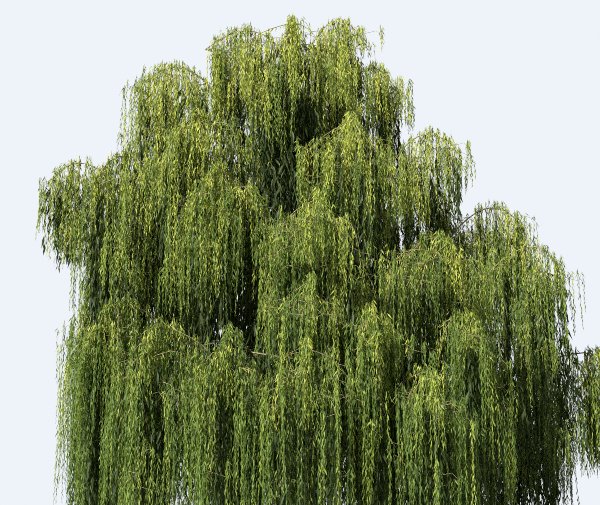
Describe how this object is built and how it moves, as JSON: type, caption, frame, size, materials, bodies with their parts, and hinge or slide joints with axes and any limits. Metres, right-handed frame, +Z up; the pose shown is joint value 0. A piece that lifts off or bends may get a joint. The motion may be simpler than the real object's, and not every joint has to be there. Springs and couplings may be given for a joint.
{
  "type": "weeping willow tree",
  "caption": "Large weeping willow: short stout trunk with root flare, arching boughs and tiers of foliage that hang in long curtains almost to the ground.",
  "frame": {"origin": "middle of the flat cut under the trunk, at ground level", "axes": "+Z is up, +X is the right of a viewer who stands in front of the tree, -Y faces that viewer"},
  "size_m": [17.653, 18.1855, 17.2237],
  "materials": {
    "bark": "deeply ridged grey-brown bark",
    "bough_bark": "smoother yellow-brown bark",
    "foliage": "narrow soft leaves in hanging sprays, yellow-green"
  },
  "bodies": {
    "root": {"trunk": "bark", "leader": "bough_bark", "left_limb": "bough_bark", "front_limb": "bough_bark", "right_limb": "bough_bark", "back_limb": "bough_bark", "top_front_bough": "bough_bark", "top_back_bough": "bough_bark", "upper_left_bough": "bough_bark", "right_shoulder_bough": "bough_bark", "front_upper_left_bough": "bough_bark", "front_upper_right_bough": "bough_bark", "left_middle_bough": "bough_bark", "centre_left_bough": "bough_bark", "right_middle_bough": "bough_bark", "left_low_bough": "bough_bark", "front_left_bough": "bough_bark", "front_middle_bough": "bough_bark", "front_low_bough": "bough_bark", "right_low_bough": "bough_bark", "right_fall_bough": "bough_bark", "far_right_bough": "bough_bark", "back_right_bough": "bough_bark", "back_left_bough": "bough_bark", "back_low_right_bough": "bough_bark", "back_low_bough": "bough_bark", "back_low_left_bough": "bough_bark", "top_left_foliage": "foliage", "top_right_foliage": "foliage", "top_front_foliage": "foliage", "top_back_foliage": "foliage", "upper_left_foliage": "foliage", "upper_right_foliage": "foliage", "right_shoulder_foliage": "foliage", "front_upper_left_foliage": "foliage", "front_upper_right_foliage": "foliage", "left_wing_foliage": "foliage", "left_middle_foliage": "foliage", "centre_left_foliage": "foliage", "centre_foliage": "foliage", "right_middle_foliage": "foliage", "right_outer_foliage": "foliage", "left_skirt_foliage": "foliage", "left_low_foliage": "foliage", "front_left_foliage": "foliage", "front_middle_foliage": "foliage", "front_low_foliage": "foliage", "centre_low_foliage": "foliage", "front_right_foliage": "foliage", "right_low_foliage": "foliage", "right_fall_foliage": "foliage", "right_hem_foliage": "foliage", "far_right_foliage": "foliage", "back_foliage": "foliage", "back_right_foliage": "foliage", "back_left_foliage": "foliage", "back_low_right_foliage": "foliage", "back_low_foliage": "foliage", "back_low_middle_foliage": "foliage", "back_low_left_foliage": "foliage"}
  },
  "joints": []
}
